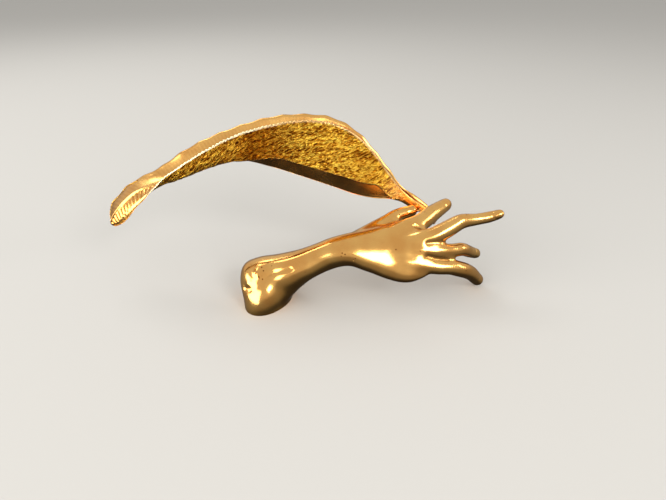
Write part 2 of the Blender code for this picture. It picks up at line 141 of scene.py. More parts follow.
def unit(vectors):
    """Vectors divided by their lengths."""
    return vectors / np.linalg.norm(vectors, axis=-1, keepdims=True)


def smooth_rows(stations, count):
    """Rows evenly spaced along one curve through the stations: cubic Hermite spans whose end
    slopes are the central differences of the stations over the chord length."""
    rows = np.asarray(stations, float)
    steps = np.linalg.norm(np.diff(rows[:, :3], axis=0), axis=1)
    along = np.concatenate([[0.0], np.cumsum(steps)])
    slopes = np.gradient(rows, along, axis=0)
    wanted = np.linspace(0.0, along[-1], count)
    span = np.clip(np.searchsorted(along, wanted, side="right") - 1, 0, len(along) - 2)
    length = (along[span + 1] - along[span])[:, None]
    w = (wanted - along[span])[:, None] / length
    start = (2 * w**3 - 3 * w**2 + 1) * rows[span] + (w**3 - 2 * w**2 + w) * length * slopes[span]
    end = (3 * w**2 - 2 * w**3) * rows[span + 1] + (w**3 - w**2) * length * slopes[span + 1]
    return start + end


def oval_tube(middle, wide, thick, around, cap_rows=8):
    """Closed tube: at each row the oval middle + cos(a) wide + sin(a) thick, and at each end a
    dome as deep as the smaller half axis. Gives its points and faces."""
    tangent = unit(np.gradient(middle, axis=0))
    turn = np.linspace(0.0, math.tau, around, endpoint=False)[None, :, None]
    ring = np.cos(turn) * wide[:, None] + np.sin(turn) * thick[:, None]
    rings = [middle[:, None] + ring]
    poles = []
    for end, sign in ((0, -1.0), (-1, 1.0)):
        reach = sign * min(np.linalg.norm(wide[end]), np.linalg.norm(thick[end])) * tangent[end]
        bulge = np.linspace(0.0, math.pi / 2, cap_rows + 2)[1:-1, None, None]
        cap = middle[end] + np.cos(bulge) * ring[end] + np.sin(bulge) * reach
        rings = [cap[::-1]] + rings if end == 0 else rings + [cap]
        poles.append(middle[end] + reach)
    grid = np.concatenate(rings)
    total = len(grid)
    row, column = np.meshgrid(np.arange(total - 1), np.arange(around), indexing="ij")
    after = (column + 1) % around
    quads = np.stack([row * around + column, row * around + after,
                      (row + 1) * around + after, (row + 1) * around + column], axis=-1)
    one = np.arange(around)
    two = (one + 1) % around
    first, last, base = total * around, total * around + 1, (total - 1) * around
    caps = np.concatenate([np.stack([np.full(around, first), two, one], axis=-1),
                           np.stack([np.full(around, last), base + one, base + two], axis=-1)])
    faces = quads.reshape(-1, 4).tolist() + caps.tolist()
    return np.concatenate([grid.reshape(-1, 3), poles]), faces


def arm_tube():
    """The arm: ovals between its back and palm points, as wide as its half widths say."""
    back, palm = (np.array([station[i] for station in ARM]) for i in range(2))
    half_width = np.array([[station[2]] for station in ARM])
    rows = smooth_rows(np.hstack([(back + palm) / 2, (back - palm) / 2, half_width]), ARM_ROWS)
    middle, thick = rows[:, :3], rows[:, 3:6]
    wide = unit(np.cross(thick, np.gradient(middle, axis=0))) * -rows[:, 6:7]
    return oval_tube(middle, wide, thick, ARM_AROUND)


def finger_tube(stations, towards=FINGER_WIDE):
    """A finger or a fold: ovals square to its spine, widest towards the given direction."""
    rows = smooth_rows(stations, FINGER_ROWS)
    tangent = unit(np.gradient(rows[:, :3], axis=0))
    wide = unit(towards - (tangent @ towards)[:, None] * tangent)
    thick = np.cross(tangent, wide)
    return oval_tube(rows[:, :3], wide * rows[:, 3:4], thick * rows[:, 4:5], FINGER_AROUND)


def mesh_object(name, points, faces):
    """A mesh object from points in millimetres."""
    mesh = bpy.data.meshes.new(name)
    mesh.from_pydata((np.asarray(points) * MM).tolist(), [], faces)
    mesh.update()
    thing = bpy.data.objects.new(name, mesh)
    bpy.context.scene.collection.objects.link(thing)
    return thing


def baked(thing):
    """The object with its modifiers applied to its mesh."""
    graph = bpy.context.evaluated_depsgraph_get()
    mesh = bpy.data.meshes.new_from_object(thing.evaluated_get(graph))
    thing.modifiers.clear()
    old, thing.data = thing.data, mesh
    bpy.data.meshes.remove(old)
    mesh.name = thing.name
    return thing


def points_of(thing):
    """An object's points as an array in millimetres."""
    flat = np.empty(len(thing.data.vertices) * 3)
    thing.data.vertices.foreach_get("co", flat)
    return flat.reshape(-1, 3) / MM


def normals_of(thing):
    """An object's point normals as an array."""
    flat = np.empty(len(thing.data.vertices) * 3)
    thing.data.vertex_normals.foreach_get("vector", flat)
    return flat.reshape(-1, 3)


def move_points(thing, points):
    """Put an object's points where the array in millimetres says."""
    thing.data.vertices.foreach_set("co", (points * MM).ravel())
    thing.data.update()


def neighbour_mean(thing, values, rounds):
    """Values per point, each replaced by the mean over its edges' other ends, several times."""
    ends = np.empty(len(thing.data.edges) * 2, int)
    thing.data.edges.foreach_get("vertices", ends)
    one, two = ends.reshape(-1, 2).T
    count = np.bincount(ends, minlength=len(values))[:, None]
    for _ in range(rounds):
        total = np.stack([np.bincount(one, values[two, k], len(values))
                          + np.bincount(two, values[one, k], len(values))
                          for k in range(values.shape[1])], axis=1)
        values = total / count
    return values


def store(thing, name, values):
    """Keep one number per point as an attribute that a material can read."""
    attribute = thing.data.attributes.new(name, "FLOAT", "POINT")
    attribute.data.foreach_set("value", values.astype(np.float32))


def hump(distance, reach):
    """A bell: 1 at distance 0, falling as exp(-(distance / reach) squared)."""
    return np.exp(-(distance / reach) ** 2)


def path_distance(points, path):
    """How far each point lies from a polyline, by the nearest of its straight pieces."""
    path = np.asarray(path, float)
    best = np.full(len(points), np.inf)
    for start, end in zip(path[:-1], path[1:]):
        reach = end - start
        w = np.clip((points - start) @ reach / (reach @ reach), 0.0, 1.0)
        best = np.minimum(best, np.linalg.norm(points - start - w[:, None] * reach, axis=1))
    return best


def reskinned(thing, voxel):
    """The object wrapped in one even skin with the given spacing in millimetres."""
    skin = thing.modifiers.new("skin", "REMESH")
    skin.mode = "VOXEL"
    skin.voxel_size = voxel * MM
    return baked(thing)


def filed(thing, rounds):
    """Points after rounds of filing, which fills the grooves between joined forms and hardly
    touches what stands out: each point goes most of the way to its neighbours' mean where that
    lies outside the skin, and a small share of it elsewhere."""
    points = points_of(thing)
    for _ in range(rounds):
        move_points(thing, points)
        towards_mean = neighbour_mean(thing, points, 1) - points
        outside = np.einsum("ij,ij->i", towards_mean, normals_of(thing)) > 0
        points = points + towards_mean * np.where(outside, FILL_SHARE, WEAR_SHARE)[:, None]
    return points


arm_parts = [arm_tube()] + [finger_tube(finger) for finger in FINGERS]
arm_parts.append(finger_tube(WEB, WEB_WIDE))
arm_points, arm_faces = [], []
for part_points, part_faces in arm_parts:
    offset = sum(len(done) for done in arm_points)
    arm_points.append(part_points)
    arm_faces += [[index + offset for index in face] for face in part_faces]
arm = mesh_object("hand_and_forearm", np.concatenate(arm_points), arm_faces)
move_points(reskinned(arm, ROUGH_VOXEL), filed(arm, ROUGH_FILING))
points = filed(reskinned(arm, FINE_VOXEL), FINE_FILING)
points = neighbour_mean(arm, points, LAST_SMOOTHING)
root_share = sum(hump(np.linalg.norm(points - root, axis=1), ROOT_REACH) for root in FINGER_ROOTS)
points += np.clip(root_share, 0, 1)[:, None] * (neighbour_mean(arm, points, ROOT_FILING) - points)
move_points(arm, points)
normals = normals_of(arm)

# Modelling on the skin, in millimetres outward along its normals.
# Each bell is a place, a height and a reach: knuckles, the wrist and foot nodules, palm mounds.
BELLS = (
    ((70.0, -5.0, 49.0), 0.25, 5.0), ((77.0, -14.0, 46.0), 0.5, 4.5),
    ((78.5, -21.0, 41.0), 0.4, 4.5), ((77.0, -27.0, 34.0), 0.4, 4.5),
    ((104.4, -10.0, 54.0), 0.4, 3.2), ((88.0, 8.0, 52.5), 0.3, 3.2),
    ((106.0, -15.0, 35.5), 0.35, 3.0), ((103.0, -21.5, 25.5), 0.3, 3.0),
    ((48.0, 0.0, 32.0), 1.6, 8.0), ((62.0, -25.0, 25.0), 0.8, 9.0), ((69.0, -31.0, 20.0), 1.1, 7.0),
    ((-29.3, -34.1, 26.2), -0.3, 4.6), ((-29.3, -34.1, 26.2), 1.0, 2.6),
    ((-34.7, -36.7, 19.5), -0.3, 4.4), ((-34.7, -36.7, 19.5), 0.9, 2.6),
    ((-27.0, -44.0, 9.0), 1.1, 8.0),
)
# Each groove is a path, a depth and a reach: folds of the elbow above the foot, and the
# valleys between the finger roots.
GROOVES = (
    (((-37.5, -37.0, 15.5), (-31.2, -40.4, 16.6), (-28.5, -39.8, 19.5), (-26.5, -38.5, 22.2),
      (-18.8, -35.5, 27.2), (-8.0, -34.4, 29.4)), 0.5, 1.9),
    (((-36.0, -38.0, 17.5), (-28.0, -38.5, 22.5), (-19.0, -35.0, 28.0)), 0.8, 4.6),
    (((-19.0, -37.0, 24.0), (-13.5, -40.0, 14.0), (-10.0, -42.0, 4.0)), 1.0, 5.0),
    (((-34.0, -33.0, 27.0), (-30.5, -36.0, 23.0), (-34.0, -40.0, 16.0)), 0.25, 1.6),
    (((75.0, -8.5, 47.0), (79.5, -9.5, 45.6), (85.0, -9.5, 46.5)), 1.0, 1.4),
    (((82.0, -21.0, 40.6), (88.0, -19.5, 40.6), (93.0, -17.0, 40.0)), 0.8, 1.6),
    (((82.0, -25.0, 33.0), (88.0, -25.0, 31.0), (96.0, -23.0, 28.8)), 0.8, 1.6),
)
# Palm lines, as places along the forearm's direction and across the palm.
PALM_LINE_DEPTH, PALM_LINE_WIDTH = 0.5, 0.8
PALM_LINES = (
    ((70.0, -2.0), (69.0, 6.0), (72.0, 14.0), (78.0, 20.0)),
    ((60.0, 0.0), (60.0, 10.0), (66.0, 20.0), (68.0, 26.0)),
    ((38.0, 8.0), (46.0, 14.0), (56.0, 19.0), (66.0, 26.0)),
)
facing_back = normals @ unit(HAND_BACK)
lift = np.zeros(len(points))
for place, height, reach in BELLS:
    lift += height * hump(np.linalg.norm(points - place, axis=1), reach)
for path, depth, reach in GROOVES:
    lift -= depth * hump(path_distance(points, path), reach)
across_palm = np.cross(HAND_BACK, (1.0, 0.0, 0.0))
palm_place = np.stack([points[:, 0], points @ across_palm], axis=1)
for line in PALM_LINES:
    line_share = hump(path_distance(palm_place, line), PALM_LINE_WIDTH) * np.clip(-facing_back, 0, 1)
    lift -= PALM_LINE_DEPTH * line_share


NAIL_HALF_LENGTH = 4.4
NAIL_WIDTH_SHARE = 0.78         # of the finger's half width
NAIL_LIFT, NAIL_GROOVE = 0.14, 0.1
CREASE_DEPTH, CREASE_WIDTH = 0.35, 0.7
RIPPLE_DEPTH, RIPPLE_SPACING, RIPPLE_REACH = 0.07, 1.5, 2.4


def finger_marks(stations):
    """Lift on one finger: a nail, raised inside a groove in the shape of a rounded box, and at
    each joint one crease across the palm side and faint ripples over the back."""
    rows = np.array(stations)
    end = rows[-1, :3]
    along = unit(end - rows[-2, :3])
    up = unit(HAND_BACK - (HAND_BACK @ along) * along)
    nail_place = points - (end + up * rows[-1, 4])
    length_share = nail_place @ along / NAIL_HALF_LENGTH
    width_share = nail_place @ np.cross(up, along) / (NAIL_WIDTH_SHARE * rows[-1, 3])
    rounded_box = (length_share**4 + width_share**4) ** 0.25
    on_back = np.clip((normals @ up - 0.2) * 3, 0, 1) * (np.linalg.norm(nail_place, axis=1) < 8)
    nail = NAIL_LIFT * np.clip((1.1 - rounded_box) / 0.25, 0, 1)
    marks = on_back * (nail - NAIL_GROOVE * hump(rounded_box - 1.15, 0.16))
    for before, joint, after in zip(rows[:-2, :3], rows[1:-1], rows[2:, :3]):
        bend = unit(after - before)
        up = unit(HAND_BACK - (HAND_BACK @ bend) * bend)
        from_joint = points - joint[:3]
        here = hump(np.linalg.norm(from_joint, axis=1), 1.5 * joint[3])
        step = from_joint @ bend
        marks -= CREASE_DEPTH * here * hump(step, CREASE_WIDTH) * np.clip(-(normals @ up), 0, 1)
        ripple = hump(step, RIPPLE_REACH) * np.cos(step * math.tau / RIPPLE_SPACING)
        marks -= RIPPLE_DEPTH * here * ripple * np.clip(normals @ up, 0, 1)
    return marks


lift += finger_marks(THUMB[1:]) + finger_marks(INDEX_FINGER[3:]) + finger_marks(MIDDLE_FINGER[3:])
lift += finger_marks(RING_FINGER[2:]) + finger_marks(LITTLE_FINGER[2:])
points = points + lift[:, None] * normals
move_points(arm, points)

# How hollow each place is: from 0 where the smoothed skin passes 0.12 mm above it, up to 1.
HOLLOW_SMOOTHING = 30
HOLLOW_START, HOLLOW_RANGE = 0.12, 0.5
smoothed = neighbour_mean(arm, points, HOLLOW_SMOOTHING)
hollow = np.einsum("ij,ij->i", smoothed - points, normals_of(arm))
store(arm, "hollow", np.clip((hollow - HOLLOW_START) / HOLLOW_RANGE, 0.0, 1.0))

# The foot is sawn flat, with a recess for the gasket and plate and a hollow for the bush.
PLATE_GAP = 0.3
RECESS_HALF_LONG, RECESS_HALF_SHORT = 17.3, 11.0
HOLLOW_HALF_LONG, HOLLOW_HALF_SHORT, HOLLOW_TOP = 9.5, 8.5, 23.0
OVERCUT = 1.0                   # how far a cutting block passes the sawn face
TRIM_REACH, TRIM_DEPTH = 300.0, 60.0
OVAL_STEPS = 64
foot_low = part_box("arm_casting")[0].z / MM
recess_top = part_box("foot_plate")[1].z / MM + PLATE_GAP


def oval_cutter(name, half_long, half_short, low, high):
    """An upright oval block on the foot's own axes: a ring at each height, joined."""
    turn = np.linspace(0.0, math.tau, OVAL_STEPS, endpoint=False)
    long_axis = np.array(FOOT_LONG_AXIS)
    short_axis = np.array([-long_axis[1], long_axis[0]])
    ring = (np.array(FOOT_CENTRE) + np.cos(turn)[:, None] * half_long * long_axis
            + np.sin(turn)[:, None] * half_short * short_axis)
    block = np.concatenate([np.column_stack([ring, np.full(OVAL_STEPS, height)])
                            for height in (low, high)])
    one = np.arange(OVAL_STEPS)
    two = (one + 1) % OVAL_STEPS
    sides = np.stack([one, two, two + OVAL_STEPS, one + OVAL_STEPS], axis=-1).tolist()
    return mesh_object(name, block, sides + [one[::-1].tolist(), (one + OVAL_STEPS).tolist()])


for name, half_long, half_short, low, high in (
        ("under_foot", TRIM_REACH, TRIM_REACH, foot_low - TRIM_DEPTH, foot_low),
        ("plate_recess", RECESS_HALF_LONG, RECESS_HALF_SHORT, foot_low - OVERCUT, recess_top),
        ("foot_hollow", HOLLOW_HALF_LONG, HOLLOW_HALF_SHORT, foot_low - OVERCUT, HOLLOW_TOP)):
    cutter = oval_cutter(name, half_long, half_short, low, high)
    cut = arm.modifiers.new(name, "BOOLEAN")
    cut.operation = "DIFFERENCE"
    cut.object = cutter
    baked(arm)
    bpy.data.objects.remove(cutter, do_unlink=True)
arm.data.shade_smooth()
arm.data.set_sharp_from_angle(angle=math.radians(60.0))
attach(arm, "root")
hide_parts("arm_casting")


def linear(code):
    """A hex sRGB colour as linear light with alpha 1."""
    channels = [int(code[i:i + 2], 16) / 255 for i in (1, 3, 5)]
    return [c / 12.92 if c <= 0.04045 else ((c + 0.055) / 1.055) ** 2.4 for c in channels] + [1.0]


def add_node(tree, kind, settings=None, **links):
    """Add a node, set its properties and wire or fill its sockets. A socket is named by its
    label with spaces as underscores, or by i and its number; a value is a number, a colour or
    another node's output."""
    node = tree.nodes.new(kind)
    for name, value in (settings or {}).items():
        setattr(node, name, value)
    for name, value in links.items():
        numbered = name[0] == "i" and name[1:].isdigit()
        socket = node.inputs[int(name[1:]) if numbered else name.replace("_", " ")]
        if isinstance(value, bpy.types.NodeSocket):
            tree.links.new(value, socket)
        else:
            socket.default_value = value
    return node


def ramp(tree, factor, *stops):
    """A colour ramp over a factor, from (position, colour) stops."""
    node = add_node(tree, "ShaderNodeValToRGB", Fac=factor)
    elements = node.color_ramp.elements
    elements[0].position, elements[0].color = stops[0]
    elements[1].position, elements[1].color = stops[-1]
    for position, colour in stops[1:-1]:
        elements.new(position).color = colour
    return node.outputs["Color"]


def new_material(name):
    """A new node material: itself, its tree, its Principled shader and the object's own
    coordinates."""
    material = bpy.data.materials.new(name)
    material.use_nodes = True
    tree = material.node_tree
    place = add_node(tree, "ShaderNodeTexCoord").outputs["Object"]
    return material, tree, tree.nodes["Principled BSDF"], place


def attribute(tree, name):
    """The value of an attribute that is stored on the mesh."""
    return add_node(tree, "ShaderNodeAttribute", {"attribute_name": name}).outputs["Fac"]


def mixed(tree, share, low, high, blend="MIX"):
    """The colour low, going over to the colour high by the share."""
    settings = {"data_type": "RGBA", "blend_type": blend}
    return add_node(tree, "ShaderNodeMix", settings, i0=share, i6=low, i7=high).outputs[2]


def spread_over(tree, value, start, end, low, high):
    """A value's range from start to end, stretched to run from low to high."""
    return add_node(tree, "ShaderNodeMapRange", Value=value, From_Min=start, From_Max=end,
                    To_Min=low, To_Max=high).outputs["Result"]


def buffed_yellow_brass():
    """Cast yellow brass, buffed on a mop: nearly a mirror. Its haze is patchy where the mop did
    not reach evenly, the skin is slightly uneven from hand filing, hollows keep brown oxide and
    polishing compound, and a few casting pores are open."""
    material, tree, shader, place = new_material("buffed_yellow_brass")
    cloud = add_node(tree, "ShaderNodeTexNoise", Vector=place, Scale=70.0, Detail=4.0).outputs["Fac"]
    metal = ramp(tree, cloud, (0.35, linear("#E9AA5C")), (0.65, linear("#F1BC6C")))
    hollow = attribute(tree, "hollow")
    speck = add_node(tree, "ShaderNodeTexNoise", Vector=place, Scale=420.0, Detail=3.0).outputs["Fac"]
    dirt = add_node(tree, "ShaderNodeMath", {"operation": "MULTIPLY"}, i0=hollow, i1=speck)
    dirty = ramp(tree, dirt.outputs["Value"], (0.05, (0, 0, 0, 1)), (0.55, (1, 1, 1, 1)))
    # open pores, 0.3 mm across and several millimetres apart
    pore = add_node(tree, "ShaderNodeTexVoronoi", Vector=place, Scale=330.0, Randomness=1.0)
    patch = add_node(tree, "ShaderNodeTexNoise", Vector=place, Scale=55.0, Detail=1.0).outputs["Fac"]
    reach = spread_over(tree, patch, 0.52, 0.72, 0.0, 0.2)
    pit = add_node(tree, "ShaderNodeMath", {"operation": "LESS_THAN"}, i0=pore.outputs["Distance"],
                   i1=reach).outputs["Value"]
    stain = add_node(tree, "ShaderNodeMath", {"operation": "MAXIMUM"}, i0=dirty, i1=pit).outputs["Value"]
    colour = mixed(tree, stain, metal, linear("#7A4A1C"))
    tree.links.new(colour, shader.inputs["Base Color"])
    haze = spread_over(tree, cloud, 0.3, 0.7, 0.13, 0.22)
    rough = add_node(tree, "ShaderNodeMath", {"operation": "MULTIPLY_ADD"}, i0=stain, i1=0.25, i2=haze)
    tree.links.new(rough.outputs["Value"], shader.inputs["Roughness"])
    # filing leaves flats of about 3 mm, a few hundredths of a millimetre deep
    flats = add_node(tree, "ShaderNodeTexNoise", Vector=place, Scale=230.0, Detail=2.0).outputs["Fac"]
    height = add_node(tree, "ShaderNodeMath", {"operation": "MULTIPLY_ADD"}, i0=pit, i1=-3.0, i2=flats)
    skin_bump = add_node(tree, "ShaderNodeBump", Height=height.outputs["Value"], Strength=1.0,
                         Distance=0.00006)
    tree.links.new(skin_bump.outputs["Normal"], shader.inputs["Normal"])
    shader.inputs["Metallic"].default_value = 1.0
    return material


arm.data.materials.clear()
arm.data.materials.append(buffed_yellow_brass())

# ---------------------------------------------------------------------------------------------
# Feather casting: one thin curved trough of brass. Its inner face and rims are buffed, with
# cut barbs each side of a raised shaft; its outer face is left as it came from the mould.
# ---------------------------------------------------------------------------------------------

# Stations from tip to quill, in millimetres: far edge, keel and near edge.
FEATHER = (
    ((-134.2, 5.2, 43.2), (-132.6, 3.4, 42.0), (-130.2, 1.4, 41.4)),
    ((-136.0, 8.6, 46.2), (-132.0, 4.0, 44.0), (-126.4, -0.8, 43.4)),
    ((-135.8, 13.0, 52.2), (-127.0, 4.0, 51.0), (-119.0, -4.0, 49.0)),
    ((-129.6, 15.4, 59.6), (-120.0, 4.0, 58.0), (-112.0, -5.0, 57.0)),
    ((-121.0, 16.4, 67.0), (-112.0, 5.0, 64.0), (-105.0, -4.0, 63.5)),
    ((-109.0, 19.0, 73.0), (-103.0, 6.0, 67.5), (-98.0, -3.0, 70.5)),
    ((-99.0, 21.0, 77.4), (-96.0, 8.0, 69.5), (-90.0, -1.0, 78.0)),
    ((-86.0, 24.0, 85.6), (-84.0, 10.0, 72.5), (-79.0, 1.0, 85.0)),
    ((-67.0, 30.0, 94.6), (-65.0, 13.0, 79.0), (-61.0, 5.0, 95.0)),
    ((-46.0, 37.0, 101.0), (-44.0, 17.0, 83.0), (-41.0, 10.0, 103.4)),
    ((-24.0, 42.0, 105.8), (-23.0, 20.0, 77.4), (-20.0, 13.0, 108.4)),
    ((-2.0, 44.0, 107.2), (-2.0, 22.0, 69.6), (0.0, 15.0, 110.6)),
    ((21.0, 41.0, 105.0), (21.0, 23.0, 61.0), (21.0, 16.0, 108.0)),
    ((37.0, 36.0, 97.0), (38.0, 24.0, 54.5), (35.0, 18.0, 100.0)),
    ((52.0, 31.0, 82.0), (51.0, 24.0, 52.0), (50.0, 20.0, 84.0)),
    ((62.0, 28.0, 70.0), (60.0, 24.0, 51.5), (60.0, 22.0, 70.0)),
    ((70.0, 26.0, 60.0), (67.0, 24.0, 50.5), (68.0, 22.0, 60.0)),
    ((79.0, 23.0, 55.0), (75.0, 22.0, 47.0), (76.0, 20.0, 53.0)),
    ((88.0, 18.0, 49.0), (84.0, 17.0, 44.0), (86.0, 16.0, 48.0)),
    ((95.0, 14.0, 41.0), (92.0, 13.0, 37.0), (92.0, 12.0, 40.0)),
)
KEEL_ROUNDING = 0.22     # share of each wall that bends round the keel
WALL_BOW = 0.07          # how far a wall bulges outward, as a share of its height
BOW_FROM_EDGES = 0.2     # the bow also leans this much away from the two edges
FEATHER_THICK = 1.6
THICK_SHARE = 0.24       # thinner where this share of the width is less
KEEL_THICKENING = 1.15   # the keel is this much thicker than the walls
RIM_BULGE = 0.35         # how far the rounded rim stands out, as a share of the wall
FLAT_TIP = 8.0           # how strongly the flat tip's own face says which side is in
FEATHER_ROWS = 430
NEAR_COLUMNS = 84
FAR_COLUMNS = 30


def trough(far, keel, near, t):
    """A grid over rows of far, keel and near points: a V of two bowed walls on a rounded keel.
    t runs from -1 at the near edge over 0 at the keel to 1 at the far edge. Each wall's share
    of its edge is a softened ramp of t, (root(t t + r r) + t) / 2, brought to 0 at the keel."""

    def softened(value):
        return (np.sqrt(value**2 + KEEL_ROUNDING**2) + value) / 2

    near_share = (softened(-t) - softened(0.0) * (1 - t**2)) / softened(1.0)
    far_share = (softened(t) - softened(0.0) * (1 - t**2)) / softened(1.0)
    to_near, to_far = (near - keel)[:, None], (far - keel)[:, None]
    grid = keel[:, None] + near_share[None, :, None] * to_near + far_share[None, :, None] * to_far
    bow = WALL_BOW * np.sin(math.pi * np.abs(t))[None, :, None]
    side = np.where((t < 0)[None, :, None], to_near - to_far, to_far - to_near)
    return grid + bow * (side - BOW_FROM_EDGES * (to_near + to_far))


def closed_wall(outer, inner):
    """Points and faces of the closed wall between two grids of the same size. Their borders are
    joined over a middle line, which stands out by a share of the wall, so that the rim is round."""
    rows, columns = outer.shape[:2]
    size = rows * columns
    index = np.arange(size).reshape(rows, columns)
    rim = np.concatenate([index[0, :-1], index[:-1, -1], index[-1, :0:-1], index[:0:-1, 0]])
    inside = np.concatenate([index[1, :-1], index[:-1, -2], index[-2, :0:-1], index[:0:-1, 1]])
    flat_outer, flat_inner = outer.reshape(-1, 3), inner.reshape(-1, 3)
    away = unit(flat_outer[rim] + flat_inner[rim] - flat_outer[inside] - flat_inner[inside])
    thick = np.linalg.norm(flat_outer[rim] - flat_inner[rim], axis=1, keepdims=True)
    middle = (flat_outer[rim] + flat_inner[rim]) / 2 + RIM_BULGE * thick * away
    quads = np.stack([index[:-1, :-1], index[:-1, 1:], index[1:, 1:], index[1:, :-1]], axis=-1)
    quads = quads.reshape(-1, 4)
    after = np.roll(rim, -1)
    mid = 2 * size + np.arange(len(rim))
    mid_after = np.roll(mid, -1)
    edges = [np.stack([after, rim, mid, mid_after], axis=-1),
             np.stack([mid_after, mid, rim + size, after + size], axis=-1)]
    faces = np.concatenate([quads, quads[:, ::-1] + size] + edges)
    return np.concatenate([flat_outer, flat_inner, middle]), faces.tolist()


def slope_step(value, low, high):
    """0 below low and 1 above high, with the smooth step 3 x x - 2 x x x between them."""
    x = np.clip((value - low) / (high - low), 0.0, 1.0)
    return x * x * (3 - 2 * x)


def grain(x, y, seed):
    """Value noise from 0 to 1: random numbers on a square lattice of unit cells, blended over
    each cell with the smooth step. It repeats every 128 cells."""
    lattice = np.random.default_rng(seed).random((128, 128))
    column, row = np.floor(x).astype(int), np.floor(y).astype(int)
    fx, fy = slope_step(x - column, 0.0, 1.0), slope_step(y - row, 0.0, 1.0)
    corner = [[lattice[(row + j) % 128, (column + i) % 128] for i in (0, 1)] for j in (0, 1)]
    low = corner[0][0] * (1 - fx) + corner[0][1] * fx
    high = corner[1][0] * (1 - fx) + corner[1][1] * fx
    return low * (1 - fy) + high * fy


BARK_LEAN = 38.0                  # degrees from the keel towards the edge
# Broad wander of the wrinkles: how far, and over what length.
WANDER_ALONG, WANDER_ALONG_LENGTH = 5.0, 9.0
WANDER_ASIDE, WANDER_ASIDE_LENGTH = 4.0, 7.0
# Size of the wrinkles, along and across their own direction, and the share of each size.
COARSE_WRINKLE, COARSE_SHARE = (7.5, 2.5), 0.6
FINE_WRINKLE, FINE_SHARE = (5.0, 1.6), 0.4


def bark(s, w):
    """Wrinkles of the wall as cast, 0 to 1: two sizes of ridges, 1 - |2 n - 1| of value noise,
    long along a line that leans from the keel and bent by a broad wander."""
    lean = math.radians(BARK_LEAN)
    s = s + WANDER_ALONG * grain(s / WANDER_ALONG_LENGTH, w / WANDER_ALONG_LENGTH, 1)
    w = w + WANDER_ASIDE * grain(s / WANDER_ASIDE_LENGTH, w / WANDER_ASIDE_LENGTH, 2)
    along, beside = s * math.cos(lean) + w * math.sin(lean), w * math.cos(lean) - s * math.sin(lean)
    coarse = 1 - np.abs(2 * grain(along / COARSE_WRINKLE[0], beside / COARSE_WRINKLE[1], 3) - 1)
    fine = 1 - np.abs(2 * grain(along / FINE_WRINKLE[0], beside / FINE_WRINKLE[1], 4) - 1)
    return COARSE_SHARE * coarse**2 + FINE_SHARE * fine**2


def grid_normals(grid, outward):
    """Unit normals of a grid, from the cross product of its row and column slopes, turned to
    the side that the reference direction points to."""
    normals = unit(np.cross(np.gradient(grid, axis=0), np.gradient(grid, axis=1)))
    return normals * np.sign(np.sum(normals * outward, axis=-1, keepdims=True))


far, keel, near = (smooth_rows([station[i] for station in FEATHER], FEATHER_ROWS) for i in range(3))
across = unit(far - near)
facing = unit(np.cross(np.gradient(keel, axis=0), across))
from_tip = np.linspace(0.0, 1.0, FEATHER_ROWS)[:, None]
rise = unit((far + near) / 2 - keel + FLAT_TIP * (1 - from_tip) ** 4 * facing)
spread = np.linalg.norm(far - near, axis=1, keepdims=True)
wall = np.minimum(FEATHER_THICK, THICK_SHARE * spread)
t = np.concatenate([np.linspace(-1.0, 0.0, NEAR_COLUMNS, endpoint=False),
                    np.linspace(0.0, 1.0, FAR_COLUMNS)])
outer = trough(far, keel, near, t)
inner = trough(far - wall * across, keel + KEEL_THICKENING * wall * rise, near + wall * across, t)

# s runs along the keel from the tip and w across each wall from the keel, in millimetres.
s = np.concatenate([[0.0], np.cumsum(np.linalg.norm(np.diff(keel, axis=0), axis=1))])[:, None]
steps = np.linalg.norm(np.diff(outer, axis=1), axis=2)
girth = np.concatenate([np.zeros((FEATHER_ROWS, 1)), np.cumsum(steps, axis=1)], axis=1)
w = np.abs(girth - girth[:, NEAR_COLUMNS:NEAR_COLUMNS + 1])
to_edge = np.where(t < 0, w[:, :1], w[:, -1:]) - w
keel_x = keel[:, :1]
near_side = (t < 0)[None, :]
quill = slope_step(keel_x, 56.0, 76.0)              # 0 on the vane, 1 on the bare quill

# Rims: broad scallops on the far rim, and fine saw teeth on the near rim's first half.
SCALLOP_DEPTH, SCALLOP_PITCH = 0.7, 13.0
TOOTH_DEPTH, TOOTH_PITCH = 0.75, 2.4
scallop = SCALLOP_DEPTH * np.abs(np.sin(math.pi * s / SCALLOP_PITCH)) ** 1.5
scallop = scallop * (1 - quill) * slope_step(s, 4.0, 14.0)
teeth = TOOTH_DEPTH * np.abs((s / TOOTH_PITCH) % 1.0 - 0.5) * 2
teeth = teeth * slope_step(s, 34.0, 48.0) * (1 - slope_step(s, 150.0, 190.0))
near_drop = teeth * slope_step(-t, 0.93, 1.0) + 0.3 * scallop * slope_step(-t, 0.8, 1.0)
edge_drop = np.where(near_side, near_drop, scallop * slope_step(t, 0.72, 1.0))

# The wall turns under towards the keel: below the strip's upper line both grids run straight.
STRIP_WIDTH = 12.5
strip = STRIP_WIDTH * slope_step(keel_x, -50.0, -16.0) * (1 - slope_step(keel_x, 46.0, 66.0))
row = np.arange(FEATHER_ROWS)
line_column = np.argmin(np.where(near_side, np.abs(w - strip), np.inf), axis=1)
share = np.clip(w / np.maximum(w[row, line_column], 0.01)[:, None], 0.0, 1.0)
under = near_side & (np.arange(len(t))[None, :] > line_column[:, None])
for grid in (outer, inner):
    root, line = grid[:, NEAR_COLUMNS:NEAR_COLUMNS + 1], grid[row, line_column][:, None]
    grid[:] = np.where(under[..., None], root + share[..., None] * (line - root), grid)

